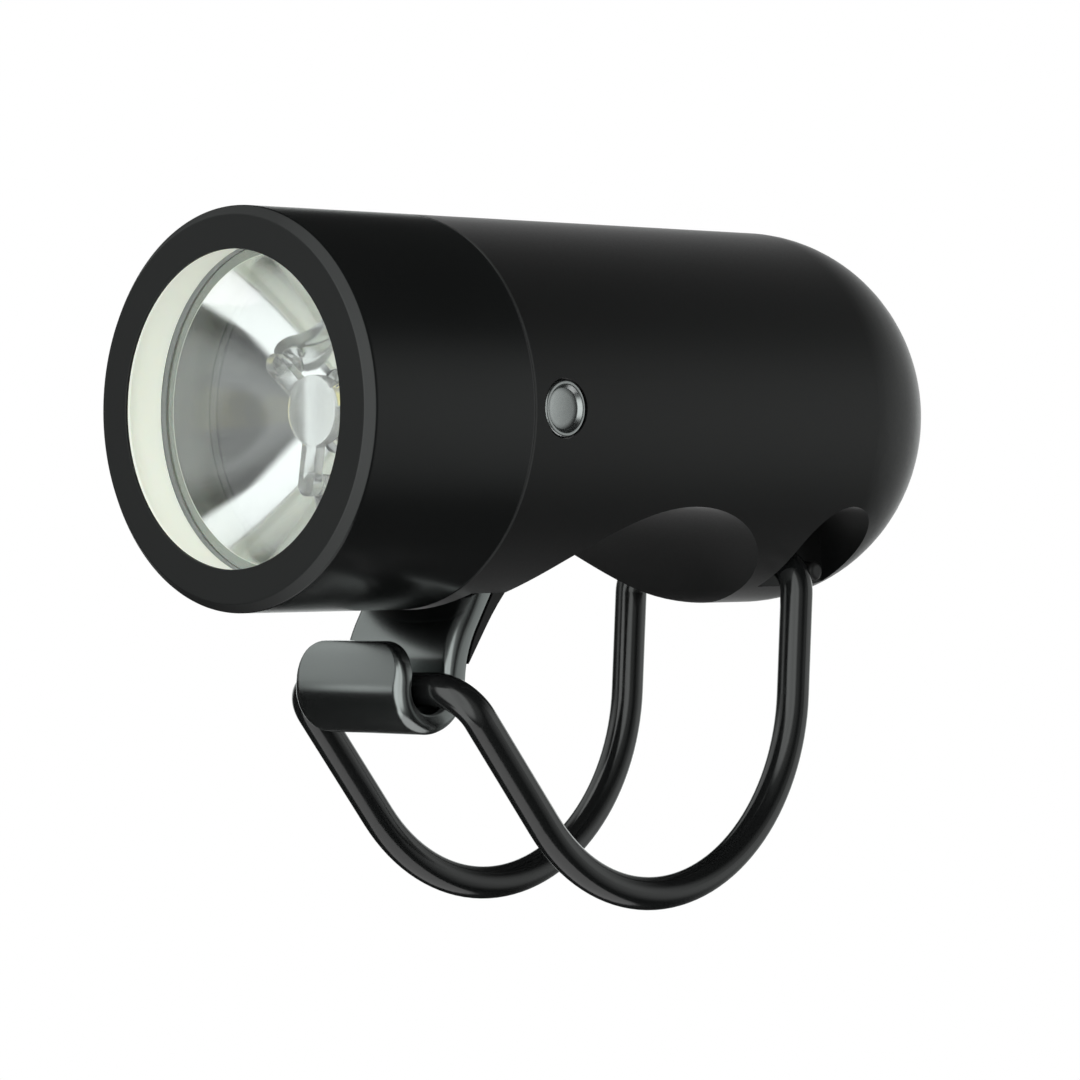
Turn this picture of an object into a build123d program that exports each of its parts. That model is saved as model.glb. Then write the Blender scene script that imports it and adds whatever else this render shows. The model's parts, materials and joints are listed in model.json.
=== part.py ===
from build123d import *
import os
from math import acos, asin, atan2, cos, degrees, hypot, radians, sin, sqrt

os.makedirs("parts", exist_ok=True)

# A bicycle headlight, in millimetres. The origin is the centre of the handlebar that it straps to,
# +X is the side with the button, +Y points back and +Z points up.
# A station is a distance behind the front face, and a height is measured from the light's own axis.

# Barrel
barrel_radius = 16.0
head_length = 17.9
tail_corner_inset = 1.2
tail_cap_swell = 7.2
front_chamfer = 0.68
seam_chamfer = 0.12
body_wall = 2.0
overrun = 1.0
face_gap = 0.12

# Handlebar seat, and the land before it, up to the pockets and up to the tail's curve
hook_land = 3.6
seat_radius = 17.0
seat_bite = 8.2
seat_wall = 1.5
pocket_land = 2.65
tail_land = 0.95
flank_swell = 5.4
flank_start_angle = 18.9
flank_end_angle = 56.0
lip_radius = 2.5
lip_overrun = 0.05

inner_radius = barrel_radius - body_wall
seat_station = head_length + hook_land + seat_radius
seat_drop = barrel_radius - seat_bite + seat_radius
flank_radius = seat_radius + flank_swell
pocket_station = seat_station + seat_radius + pocket_land
straight_length = pocket_station + tail_land
tail_corner_radius = barrel_radius - tail_corner_inset
tail_cap_radius = tail_corner_radius + tail_cap_swell
tail_tip = straight_length + tail_cap_radius - sqrt(tail_cap_swell**2 - tail_corner_inset**2)

side = Plane(origin=(0, -seat_station, seat_drop), x_dir=(0, 1, 0), z_dir=(1, 0, 0))
light_axis = Axis((0, -seat_station, seat_drop), (0, 1, 0))


def across(station):
    """Plane square to the light's axis that looks forwards."""
    return Plane(origin=(0, station - seat_station, seat_drop), x_dir=(1, 0, 0), z_dir=(0, -1, 0))


def band(front, back, inner, outer, mode=Mode.ADD):
    """Ring turned about the light's axis between two stations and two radii."""
    with BuildSketch(side) as section:
        with BuildLine():
            Polyline((front, inner), (back, inner), (back, outer), (front, outer), close=True)
        make_face()
    revolve(section.sketch, axis=light_axis, mode=mode)


def rods(plane, places, radius, length, mode=Mode.ADD):
    """Round rods that stand on a plane at the given places."""
    with BuildSketch(plane) as discs:
        with Locations(*places):
            Circle(radius)
    extrude(discs.sketch, amount=length, mode=mode)


def block(plane, place, width, height, length, corner=0, mode=Mode.ADD):
    """Box that stands on a plane, with round corners where a corner radius is given."""
    with BuildSketch(plane) as outline:
        with Locations(place):
            if corner > 0:
                RectangleRounded(width, height, corner)
            else:
                Rectangle(width, height)
    extrude(outline.sketch, amount=length, mode=mode)


def around(radius, count, start):
    """Places spaced evenly round the light's axis."""
    turns = [radians(start + index * 360 / count) for index in range(count)]
    return [(radius * cos(turn), radius * sin(turn)) for turn in turns]


def screws(head_station, places, shank_radius, length, head_radius, head_height):
    """Pan head screws that go in backwards, with a hexagon socket."""
    rods(across(head_station), places, head_radius, head_height)
    rods(across(head_station), places, shank_radius, -length)
    with BuildSketch(across(head_station - head_height)) as sockets:
        with Locations(*places):
            RegularPolygon(shank_radius * socket_share, 6)
    extrude(sockets.sketch, amount=-head_height * socket_depth_share, mode=Mode.SUBTRACT)


socket_share = 0.7
socket_depth_share = 0.6

# Optics: cream ring, window, seal, reflector and the ring that holds them
face_width = 3.44
lip_thickness = 0.25
optic_wall = 1.8
optic_gap = 0.1
glow_wall = 0.6
glow_mouth_land = 0.25
glow_flare_length = 0.8
window_station = 4.55
window_thickness = 0.8
seal_thickness = 0.6
seal_width = 0.7
rim_inset = 0.13
flange_thickness = 1.0
board_setback = 4.1
bowl_floor_radius = 3.5
bowl_bulge = 0.5
bowl_wall = 1.0
bowl_foot_share = 0.9
bowl_back_share = 0.7
emitter_hole_radius = 2.6
retainer_length = 2.0
retainer_inset = 0.57

opening_radius = barrel_radius - face_width
optic_bore = barrel_radius - optic_wall
optic_radius = optic_bore - optic_gap
glow_inner_radius = optic_radius - glow_wall
glow_flare_start = lip_thickness + glow_mouth_land
window_back = window_station + window_thickness
seal_back = window_back + seal_thickness
seal_inner_radius = optic_radius - seal_width
rim_radius = opening_radius - rim_inset
rim_land_radius = seal_inner_radius - optic_gap
flange_back = seal_back + flange_thickness
bowl_back = head_length - board_setback
bowl_floor_station = bowl_back - bowl_wall
bowl_foot_radius = bowl_floor_radius + bowl_wall * bowl_foot_share

# Neck that carries the head, with its seal
head_wall = 1.6
neck_gap = 0.1
neck_wall = 1.4
neck_reach = 4.7
neck_overlap = 2.0
groove_setback = 2.0
groove_width = 1.2
groove_depth = 0.8
head_seal_radius = 0.42
head_seal_gap = 0.01

neck_bore = barrel_radius - head_wall
neck_radius = neck_bore - neck_gap
neck_inner_radius = neck_radius - neck_wall
neck_station = head_length - neck_reach
neck_end = head_length + neck_overlap
groove_station = neck_station + groove_setback

with BuildPart() as head_bezel:
    with BuildSketch(side):
        with BuildLine():
            Polyline(
                (0, opening_radius),
                (0, barrel_radius - front_chamfer),
                (front_chamfer, barrel_radius),
                (head_length - seam_chamfer, barrel_radius),
                (head_length, barrel_radius - seam_chamfer),
                (head_length, neck_bore),
                (flange_back, neck_bore),
                (flange_back, optic_bore),
                (lip_thickness, optic_bore),
                (lip_thickness, opening_radius),
                close=True,
            )
        make_face()
    revolve(axis=light_axis)

with BuildPart() as glow_ring:
    with BuildSketch(side):
        with BuildLine():
            Polyline(
                (lip_thickness, opening_radius),
                (glow_flare_start, opening_radius),
                (glow_flare_start + glow_flare_length, glow_inner_radius),
                (window_station, glow_inner_radius),
                (window_station, optic_radius),
                (lip_thickness, optic_radius),
                close=True,
            )
        make_face()
    revolve(axis=light_axis)

with BuildPart() as front_window:
    band(window_station, window_back, 0, optic_radius)

with BuildPart() as window_seal:
    band(window_back, seal_back, seal_inner_radius, optic_radius)


def bowl_middle():
    """Point that the bowl's curve passes through, halfway between its rim and its floor."""
    run = bowl_floor_station - window_back
    fall = rim_radius - bowl_floor_radius
    chord = hypot(run, fall)
    station = (window_back + bowl_floor_station) / 2 + bowl_bulge * fall / chord
    radius = (rim_radius + bowl_floor_radius) / 2 + bowl_bulge * run / chord
    return station, radius


with BuildPart() as reflector:
    with BuildSketch(side):
        with BuildLine():
            ThreePointArc((window_back, rim_radius), bowl_middle(), (bowl_floor_station, bowl_floor_radius))
            Polyline(
                (bowl_floor_station, bowl_floor_radius),
                (bowl_floor_station, emitter_hole_radius),
                (bowl_back, emitter_hole_radius),
                (bowl_back, bowl_foot_radius),
            )
            middle_station, middle_radius = bowl_middle()
            back_shift = bowl_wall * bowl_back_share
            ThreePointArc(
                (bowl_back, bowl_foot_radius),
                (middle_station + back_shift, middle_radius + back_shift),
                (flange_back, rim_radius),
            )
            Polyline(
                (flange_back, rim_radius),
                (flange_back, optic_radius),
                (seal_back, optic_radius),
                (seal_back, rim_land_radius),
                (window_back, rim_land_radius),
                (window_back, rim_radius),
            )
        make_face()
    revolve(axis=light_axis)

with BuildPart() as optic_retainer:
    retainer_back = flange_back + retainer_length
    band(flange_back, retainer_back, rim_radius + retainer_inset, neck_bore - optic_gap / 2)

# Small lens on three legs that stand on the bowl
lens_radius = 2.86
lens_stand = 4.4
lens_crown = 0.65
lens_edge = 1.1
leg_thickness = 1.0
leg_width = 1.8
leg_reach = 6.0
leg_start_angle = 21.0
leg_count = 3
leg_root_share = 0.75
lens_station = bowl_floor_station - lens_stand
lens_back = lens_station + lens_crown + lens_edge

with BuildPart() as collimator_lens:
    with BuildSketch(side):
        with BuildLine():
            crown_radius = (lens_radius**2 + lens_crown**2) / (2 * lens_crown)
            crown_angle = degrees(asin(lens_radius / crown_radius))
            crown = JernArc((lens_station, 0), (0, 1), crown_radius, -crown_angle)
            Polyline(crown @ 1, (lens_back, lens_radius), (lens_back, 0), (lens_station, 0))
        make_face()
    revolve(axis=light_axis)
    leg_span = leg_reach - lens_radius * leg_root_share
    with BuildSketch(across(lens_back)):
        with PolarLocations(lens_radius * leg_root_share + leg_span / 2, leg_count, leg_start_angle):
            Rectangle(leg_span, leg_width)
    extrude(amount=leg_thickness)
    rods(
        across(bowl_floor_station),
        around(leg_reach, leg_count, leg_start_angle),
        leg_width / 2,
        bowl_floor_station - lens_back + leg_thickness,
    )
    with BuildSketch(side) as behind_bowl:
        with BuildLine():
            ThreePointArc((window_back, rim_radius), bowl_middle(), (bowl_floor_station, bowl_floor_radius))
            Polyline(
                (bowl_floor_station, bowl_floor_radius),
                (bowl_back, bowl_floor_radius),
                (bowl_back, rim_radius),
                (window_back, rim_radius),
            )
        make_face()
    revolve(axis=light_axis, mode=Mode.SUBTRACT)

# Emitter, its board and the heat sink cup
emitter_size = 3.5
emitter_thickness = 0.8
phosphor_size = 2.9
phosphor_thickness = 0.4
led_board_margin = 0.4
led_board_thickness = 1.2
sink_gap = 0.1
sink_flange_thickness = 0.8
sink_floor_thickness = 1.2
driver_seat_depth = 1.0
led_screw_gap = 1.0
led_screw_count = 2
led_screw_radius = 0.8
led_screw_length = 2.2
led_screw_head_radius = 1.4
led_screw_head_height = 0.6
lead_radius = 0.45
lead_hole_radius = 0.7
lead_gap = 0.1
boss_inset = 1.55
boss_radius = 2.0
driver_screw_radius = 0.8
driver_screw_length = 2.0
driver_screw_head_radius = 1.5
driver_screw_head_height = 1.0
driver_screw_start_angle = 90.0

led_screw_circle = bowl_foot_radius + led_screw_gap + led_screw_head_radius
led_board_radius = led_screw_circle + led_screw_head_radius + led_board_margin
sink_wall_inner_radius = (led_board_radius + neck_inner_radius) / 2
sink_flange_front = neck_station - sink_flange_thickness
boss_circle = sink_wall_inner_radius - boss_inset
lead_circle = boss_circle - boss_radius - lead_gap - lead_hole_radius
led_board_back = bowl_back + led_board_thickness
sink_floor_back = led_board_back + sink_floor_thickness
driver_station = sink_floor_back + driver_seat_depth
led_screw_places = around(led_screw_circle, led_screw_count, 0)
lead_places = around(lead_circle, 2, 90)
driver_screw_places = around(boss_circle, 2, driver_screw_start_angle)

with BuildPart() as led_emitter:
    block(across(bowl_back), (0, 0), emitter_size, emitter_size, emitter_thickness)

with BuildPart() as led_phosphor:
    block(across(bowl_back - emitter_thickness), (0, 0), phosphor_size, phosphor_size, phosphor_thickness)

with BuildPart() as led_board:
    band(bowl_back, led_board_back, 0, led_board_radius)
    rods(across(bowl_back), led_screw_places, led_screw_radius, -led_board_thickness, Mode.SUBTRACT)

with BuildPart() as led_board_screws:
    screws(
        bowl_back,
        led_screw_places,
        led_screw_radius,
        led_screw_length,
        led_screw_head_radius,
        led_screw_head_height,
    )

with BuildPart() as heat_sink:
    with BuildSketch(side):
        with BuildLine():
            Polyline(
                (led_board_back, 0),
                (led_board_back, sink_wall_inner_radius),
                (sink_flange_front, sink_wall_inner_radius),
                (sink_flange_front, neck_radius),
                (neck_station, neck_radius),
                (neck_station, neck_inner_radius - sink_gap),
                (driver_station, neck_inner_radius - sink_gap),
                (driver_station, sink_wall_inner_radius),
                (sink_floor_back, sink_wall_inner_radius),
                (sink_floor_back, 0),
                close=True,
            )
        make_face()
    revolve(axis=light_axis)
    rods(across(driver_station), driver_screw_places, boss_radius, driver_seat_depth)
    rods(across(bowl_back), led_screw_places, led_screw_radius, -led_screw_length, Mode.SUBTRACT)
    rods(across(driver_station), driver_screw_places, driver_screw_radius, driver_seat_depth, Mode.SUBTRACT)
    lead_run = driver_station - led_board_back
    rods(across(driver_station), lead_places, lead_hole_radius, lead_run, Mode.SUBTRACT)

with BuildPart() as led_leads:
    rods(across(driver_station), lead_places, lead_radius, lead_run)

with BuildPart() as head_seal:
    with BuildSketch(side):
        with Locations((groove_station + groove_width / 2, neck_bore - head_seal_gap - head_seal_radius)):
            Circle(head_seal_radius)
    revolve(axis=light_axis)

# Driver board behind the heat sink, with its components and screws
driver_thickness = 1.0
inductor_place = (-3.6, 2.6)
inductor_radius = 2.5
inductor_height = 2.4
chip_place = (2.6, 2.8)
chip_size = 4.0
chip_height = 0.9
capacitor_places = [(3.4, -2.6), (3.4, -4.9)]
capacitor_width = 2.0
capacitor_depth = 1.25
capacitor_height = 1.2
driver_back = driver_station + driver_thickness
driver_radius = neck_inner_radius - sink_gap

with BuildPart() as driver_board:
    band(driver_station, driver_back, 0, driver_radius)
    rods(across(driver_back), driver_screw_places, driver_screw_radius, driver_thickness, Mode.SUBTRACT)

with BuildPart() as driver_components:
    rods(across(driver_back), [inductor_place], inductor_radius, -inductor_height)
    block(across(driver_back), chip_place, chip_size, chip_size, -chip_height)
    for place in capacitor_places:
        block(across(driver_back), place, capacitor_width, capacitor_depth, -capacitor_height)

with BuildPart() as driver_screws:
    rods(across(driver_back), driver_screw_places, driver_screw_head_radius, -driver_screw_head_height)
    rods(across(driver_back), driver_screw_places, driver_screw_radius, driver_screw_length)

# Mode button, its seal and the switch behind it
button_setback = 3.4
button_radius = 2.3
button_sink = 0.12
button_bevel = 0.3
dish_depth = 0.35
button_travel = 0.4
button_flange_radius = 2.9
button_flange_depth = 2.5
button_flange_thickness = 0.7
stem_radius = 1.2
stem_depth = 4.1
seal_groove_sink = 0.9
seal_groove_width = 0.8
seal_groove_depth = 0.5
button_seal_radius = 0.27
plunger_radius = 0.9
plunger_gap = 0.05
plunger_length = 1.3
switch_depth = 4.8
switch_height = 1.6
switch_size = 3.0
switch_board_thickness = 1.0
switch_board_gap = 0.4
switch_board_height = 8.4
button_gap = 0.1
button_recess_depth = 2.0

button_station = head_length + button_setback
button_face = barrel_radius - button_sink
button_flange_face = barrel_radius - button_flange_depth
seal_groove_face = barrel_radius - seal_groove_sink
stem_end = barrel_radius - stem_depth
plunger_base = stem_end - plunger_length
switch_well = plunger_base - button_travel - plunger_gap
switch_face = barrel_radius - switch_depth
switch_base = switch_face - switch_height

with BuildPart() as mode_button:
    button_height = button_face - button_flange_face
    rods(side.offset(button_flange_face), [(button_station, 0)], button_radius, button_height)
    chamfer(edges().group_by(Axis.X)[-1], button_bevel)
    dish_rim = button_radius - button_bevel
    dish_radius = (dish_rim**2 + dish_depth**2) / (2 * dish_depth)
    dish_centre = (button_face, button_station - seat_station, seat_drop)
    with BuildSketch(Plane(origin=dish_centre, z_dir=(0, 0, 1))):
        with BuildLine():
            dish_angle = degrees(asin(dish_rim / dish_radius))
            dish = CenterArc((dish_radius - dish_depth, 0), dish_radius, 180 - dish_angle, dish_angle)
            Polyline(dish @ 1, (overrun, 0), (overrun, dish_rim), dish @ 0)
        make_face()
    revolve(axis=Axis((0, button_station - seat_station, seat_drop), (1, 0, 0)), mode=Mode.SUBTRACT)
    rods(
        side.offset(button_flange_face),
        [(button_station, 0)],
        button_flange_radius,
        -button_flange_thickness,
    )
    rods(side.offset(stem_end), [(button_station, 0)], stem_radius, button_flange_face - stem_end)
    with BuildSketch(side.offset(seal_groove_face)):
        with Locations((button_station, 0)):
            Circle(button_radius + overrun)
            Circle(button_radius - seal_groove_depth, mode=Mode.SUBTRACT)
    extrude(amount=-seal_groove_width, mode=Mode.SUBTRACT)

with BuildPart() as button_seal:
    button_axis = Axis((0, button_station - seat_station, seat_drop), (1, 0, 0))
    with BuildSketch(Plane(origin=(0, button_station - seat_station, seat_drop), z_dir=(0, 0, 1))):
        seal_ring_radius = button_radius + button_gap - plunger_gap / 2 - button_seal_radius
        with Locations((seal_groove_face - seal_groove_width / 2, seal_ring_radius)):
            Circle(button_seal_radius)
    revolve(axis=button_axis)

with BuildPart() as switch_plunger:
    rods(side.offset(plunger_base), [(button_station, 0)], plunger_radius, stem_end - plunger_base)

with BuildPart() as tact_switch:
    block(side.offset(switch_base), (button_station, 0), switch_size, switch_size, switch_face - switch_base)
    rods(
        side.offset(switch_well),
        [(button_station, 0)],
        plunger_radius + plunger_gap,
        switch_face - switch_well,
        Mode.SUBTRACT,
    )

bulkhead_setback = 5.1
bulkhead_station = neck_end + bulkhead_setback
switch_board_end = bulkhead_station - switch_board_gap

with BuildPart() as switch_board:
    block(
        side.offset(switch_base),
        ((driver_back + switch_board_end) / 2, 0),
        switch_board_end - driver_back,
        switch_board_height,
        -switch_board_thickness,
    )

# Battery, its cradle, pads and tabs, in the room between the seat's skin and the barrel's wall
cell_head_room = 0.8
cell_foot_room = 1.1
cell_edge = 0.6
crimp_place = 2.4
crimp_width = 1.2
crimp_depth = 0.5
tab_thickness = 0.2
tab_width = 5.0
tab_margin = 2.7
cradle_gap = 0.05
cradle_wall = 0.7
bulkhead_thickness = 1.2
bulkhead_gap = 0.15
bulkhead_floor_rise = 6.6
bulkhead_window_radius = 4.0
front_pad_thickness = 0.6
pad_thickness = 1.0
rear_wall_inset = 0.6
rear_wall_thickness = 1.0
shelf_thickness = 1.2
shelf_width = 11.0
shelf_gap = 1.0
tail_wall = 4.0
socket_room = 5.8

cavity_end = tail_tip - tail_wall
rear_wall_back = cavity_end - socket_room
rear_wall_front = rear_wall_back - rear_wall_thickness
cell_end = rear_wall_front - pad_thickness - tab_thickness
bulkhead_back = bulkhead_station + bulkhead_thickness
cell_station = bulkhead_back + front_pad_thickness + tab_thickness
cell_room = inner_radius + seat_drop - seat_radius - seat_wall
cell_radius = (cell_room - cell_head_room - cell_foot_room) / 2
cell_rise = inner_radius - cell_head_room - cell_radius
tab_height = (cell_radius - tab_margin) * 2
cradle_inner = cell_radius + cradle_gap
cradle_outer = cradle_inner + cradle_wall
cell_axis = Axis((0, -seat_station, seat_drop + cell_rise), (0, 1, 0))
cell_side = Plane(origin=(0, -seat_station, seat_drop + cell_rise), x_dir=(0, 1, 0), z_dir=(1, 0, 0))

with BuildPart() as battery_cell:
    with BuildSketch(cell_side):
        with BuildLine():
            crimp = cell_station + crimp_place
            Polyline(
                (cell_station, 0),
                (cell_station, cell_radius - cell_edge),
                (cell_station + cell_edge, cell_radius),
                (crimp, cell_radius),
                (crimp + crimp_width / 2, cell_radius - crimp_depth),
                (crimp + crimp_width, cell_radius),
                (cell_end - cell_edge, cell_radius),
                (cell_end, cell_radius - cell_edge),
                (cell_end, 0),
                close=True,
            )
        make_face()
    revolve(axis=cell_axis)

with BuildPart() as battery_tabs:
    for back_station in (cell_station, cell_end + tab_thickness):
        block(across(back_station), (0, cell_rise), tab_width, tab_height, tab_thickness)

with BuildPart() as battery_pads:
    block(across(cell_station - tab_thickness), (0, cell_rise), tab_width, tab_height, front_pad_thickness)
    block(across(rear_wall_front), (0, cell_rise), tab_width, tab_height, pad_thickness)

# Charging socket in the tail
socket_width = 8.94
socket_height = 3.2
socket_corner = 1.2
socket_wall = 0.3
socket_setback = 0.5
tongue_width = 6.7
tongue_height = 0.7
usb_board_thickness = 1.0
usb_board_width = 11.0
usb_board_gap = 0.4
port_gap = 0.2
recess_depth = 2.6
recess_width = 13.0
recess_height = 7.4
recess_corner = 3.4
cover_notch = 0.45
cover_bead_radius = 0.35
cover_bead_half_length = 2.8
cover_bead_sink = 0.29
power_lead_inset = 3.6
power_lead_run = 1.8
power_lead_bend = 2.0

recess_station = tail_tip - recess_depth
socket_end = recess_station - socket_setback
cover_hinge_drop = recess_height / 2
cap_fall = tail_cap_radius - sqrt(tail_cap_radius**2 - cover_hinge_drop**2)
cover_hinge_station = tail_tip - cap_fall - cover_bead_sink
usb_board_end = cavity_end - usb_board_gap
power_lead_reach = inner_radius - power_lead_inset
power_lead_turn = rear_wall_back + power_lead_run
usb_board_top = -socket_height / 2
socket_front = rear_wall_back + face_gap
usb_board_drop = usb_board_top - usb_board_thickness / 2
shelf_drop = usb_board_top - usb_board_thickness - shelf_thickness / 2

# Cross pin in the web between the pockets, and the carrier's lug on it
pocket_radius = 4.15
pocket_rise = 4.0
pin_setback = 1.92
pin_sink = 1.3
pin_radius = 0.85
pin_half_length = 8.0
pin_round = 0.4
lug_width = 3.6
lug_length = 2.8
lug_margin = 1.1
lug_gap = 0.15

pocket_drop = barrel_radius - pocket_rise
pin_station = pocket_station + pin_setback
pin_drop = pocket_drop + pin_sink

with BuildPart() as battery_cradle:
    with BuildSketch(across(bulkhead_back)):
        Circle(inner_radius - bulkhead_gap)
        with Locations((0, bulkhead_floor_rise - barrel_radius * 2)):
            Rectangle(barrel_radius * 2, barrel_radius * 2, mode=Mode.SUBTRACT)
        Circle(bulkhead_window_radius, mode=Mode.SUBTRACT)
    extrude(amount=bulkhead_thickness)
    with BuildSketch(across(rear_wall_back)):
        with Locations((0, cell_rise)):
            Circle(cradle_outer)
            Circle(cradle_inner, mode=Mode.SUBTRACT)
        with Locations((0, cell_rise + cradle_outer)):
            Rectangle(cradle_outer * 2, cradle_outer * 2, mode=Mode.SUBTRACT)
    extrude(amount=rear_wall_back - bulkhead_back)
    with BuildSketch(across(rear_wall_back)):
        with Locations((0, cell_rise)):
            Circle(cell_radius - rear_wall_inset)
        with Locations((0, cell_rise - cradle_inner / 2)):
            Rectangle(cell_radius - rear_wall_inset, cradle_inner)
    extrude(amount=rear_wall_thickness)
    shelf_end = cavity_end - shelf_gap
    block(across(shelf_end), (0, shelf_drop), shelf_width, shelf_thickness, shelf_end - rear_wall_back)
    lug_top = cell_rise - cradle_inner - cradle_wall / 2
    lug_foot = -pin_drop - lug_margin
    block(
        across(pin_station + lug_length / 2),
        (0, (lug_top + lug_foot) / 2),
        lug_width,
        lug_top - lug_foot,
        lug_length,
    )
    rods(
        side.offset(-lug_width / 2),
        [(pin_station, -pin_drop)],
        pin_radius,
        lug_width,
        Mode.SUBTRACT,
    )
    power_lead_holes = [(side_sign * power_lead_reach, usb_board_drop) for side_sign in (-1, 1)]
    rods(across(bulkhead_back), power_lead_holes, lead_hole_radius, bulkhead_thickness, Mode.SUBTRACT)

with BuildPart() as carrier_pin:
    rods(side.offset(-pin_half_length), [(pin_station, -pin_drop)], pin_radius, pin_half_length * 2)
    fillet(edges().filter_by(GeomType.CIRCLE), pin_round)

with BuildPart() as usb_board:
    block(
        across(usb_board_end),
        (0, usb_board_drop),
        usb_board_width,
        usb_board_thickness,
        usb_board_end - rear_wall_back,
    )

with BuildPart() as usb_socket:
    block(
        across(socket_end),
        (0, 0),
        socket_width,
        socket_height,
        socket_end - socket_front,
        socket_corner,
    )
    block(
        across(socket_end),
        (0, 0),
        socket_width - socket_wall * 2,
        socket_height - socket_wall * 2,
        socket_end - socket_front - socket_wall * 2,
        socket_corner - socket_wall,
        Mode.SUBTRACT,
    )
    tongue_length = socket_end - socket_front - socket_wall
    block(across(socket_end - socket_wall), (0, 0), tongue_width, tongue_height, tongue_length)

# Leads from the driver board to the charging board
with BuildPart() as power_leads:
    for side_sign in (-1, 1):
        lead_x = side_sign * power_lead_reach
        lead_z = seat_drop + usb_board_drop
        turn_y = power_lead_turn - seat_station
        with BuildLine() as lead_path:
            FilletPolyline(
                (lead_x, driver_back - seat_station, lead_z),
                (lead_x, turn_y, lead_z),
                (side_sign * usb_board_width / 2, turn_y, lead_z),
                radius=power_lead_bend,
            )
        with BuildSketch(Plane(origin=lead_path.line @ 0, z_dir=lead_path.line % 0)):
            Circle(lead_radius)
        sweep(path=lead_path.line)

# Strap: one round rubber loop. Its rear bar passes through the web and its front bar lies in the hook.
strap_radius = 1.375
strap_half_width = 9.7
strap_bend = 3.0
rear_bar_setback = 2.45
rear_bar_sink = 0.2
front_bar_shift = 0.05
loop_shift = 0.5
loop_drop_from_barrel = 6.6
hook_setback = 2.1
hook_stand = 6.2

rear_bar_station = pocket_station - rear_bar_setback
rear_bar_drop = pocket_drop + rear_bar_sink
hook_station = head_length - hook_setback
hook_drop = barrel_radius + hook_stand
front_bar_station = hook_station - front_bar_shift
front_bar_drop = hook_drop + front_bar_shift
loop_radius = seat_radius
loop_station = seat_station - loop_shift
loop_drop = barrel_radius + loop_drop_from_barrel


def point_at(across_x, station, drop):
    return Vector(across_x, station - seat_station, seat_drop - drop)


def square_corner(corner, back, ahead, bend):
    """Start, middle and end of the arc that rounds a right-angled corner."""
    start = corner - back * bend
    end = corner + ahead * bend
    middle = corner + (ahead - back) * (bend * (1 - 1 / sqrt(2)))
    return start, middle, end


def loop_tangent(bar_station, bar_drop, turn_sign):
    """Angle on the loop's arc where the leg from a bar runs onto it."""
    along = bar_station - loop_station
    up = loop_drop - bar_drop
    return atan2(up, along) + turn_sign * acos(loop_radius / hypot(along, up))


rear_angle = loop_tangent(rear_bar_station, rear_bar_drop, -1)
front_angle = loop_tangent(front_bar_station, front_bar_drop, 1)
if front_angle > 0:
    front_angle -= radians(360)


def on_loop(angle):
    return point_at(
        strap_half_width,
        loop_station + loop_radius * cos(angle),
        loop_drop - loop_radius * sin(angle),
    )


with BuildPart() as strap:
    rear_corner = point_at(strap_half_width, rear_bar_station, rear_bar_drop)
    front_corner = point_at(strap_half_width, front_bar_station, front_bar_drop)
    outward = Vector(1, 0, 0)
    rear_leg = (on_loop(rear_angle) - rear_corner).normalized()
    front_leg = (front_corner - on_loop(front_angle)).normalized()
    rear_start, rear_middle, rear_end = square_corner(rear_corner, outward, rear_leg, strap_bend)
    front_start, front_middle, front_end = square_corner(front_corner, front_leg, -outward, strap_bend)
    with BuildLine() as strap_path:
        Line(point_at(0, rear_bar_station, rear_bar_drop), rear_start)
        ThreePointArc(rear_start, rear_middle, rear_end)
        Line(rear_end, on_loop(rear_angle))
        ThreePointArc(on_loop(rear_angle), on_loop((rear_angle + front_angle) / 2), on_loop(front_angle))
        Line(on_loop(front_angle), front_start)
        ThreePointArc(front_start, front_middle, front_end)
        Line(front_end, point_at(0, front_bar_station, front_bar_drop))
    with BuildSketch(Plane(origin=strap_path.line @ 0, z_dir=strap_path.line % 0)):
        Circle(strap_radius)
    sweep(path=strap_path.line)
    mirror(about=Plane.YZ)

# Hook: a J that opens upwards, on a plate whose tongue goes into the body
hook_half_width = 6.4
hook_radius = 3.7
hook_lip_wall = 1.4
hook_plate_wall = 2.1
hook_lip_lean = 10.0
hook_lip_stand = 2.4
hook_lip_corner = 3.2
hook_plate_curve = 9.0
hook_plate_lean = 31.0
hook_tongue_bite = 5.2
hook_tongue_half_width = 4.6
hook_shoulder_bite = 1.7
hook_shoulder_cut = 18.0
hook_edge_round = 0.6
hook_pin_radius = 0.7
hook_pin_half_length = 5.6
hook_pin_bite = 4.1

hook_lip_top = barrel_radius + hook_lip_stand
hook_tongue_top = barrel_radius - hook_tongue_bite
hook_shoulder_drop = barrel_radius - hook_shoulder_bite
hook_pin_drop = barrel_radius - hook_pin_bite
hook_inner_radius = hook_radius - (hook_lip_wall + hook_plate_wall) / 2
hook_inner_station = hook_station - (hook_plate_wall - hook_lip_wall) / 2
hook_lean_slope = sin(radians(hook_plate_lean)) / cos(radians(hook_plate_lean))


def tongue_end(start):
    """Point at the tongue's top on a line that leans back from a start point."""
    return start.X + (-hook_tongue_top - start.Y) * hook_lean_slope, -hook_tongue_top


def lip_line(station, radius):
    """Foot and top of one face of the lip, which leans back from the hook's bend."""
    lean = radians(hook_lip_lean)
    foot = (station - radius * cos(lean), -hook_drop + radius * sin(lean))
    rise = -hook_lip_top - foot[1]
    return foot, (foot[0] + rise * sin(lean) / cos(lean), -hook_lip_top)


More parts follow.
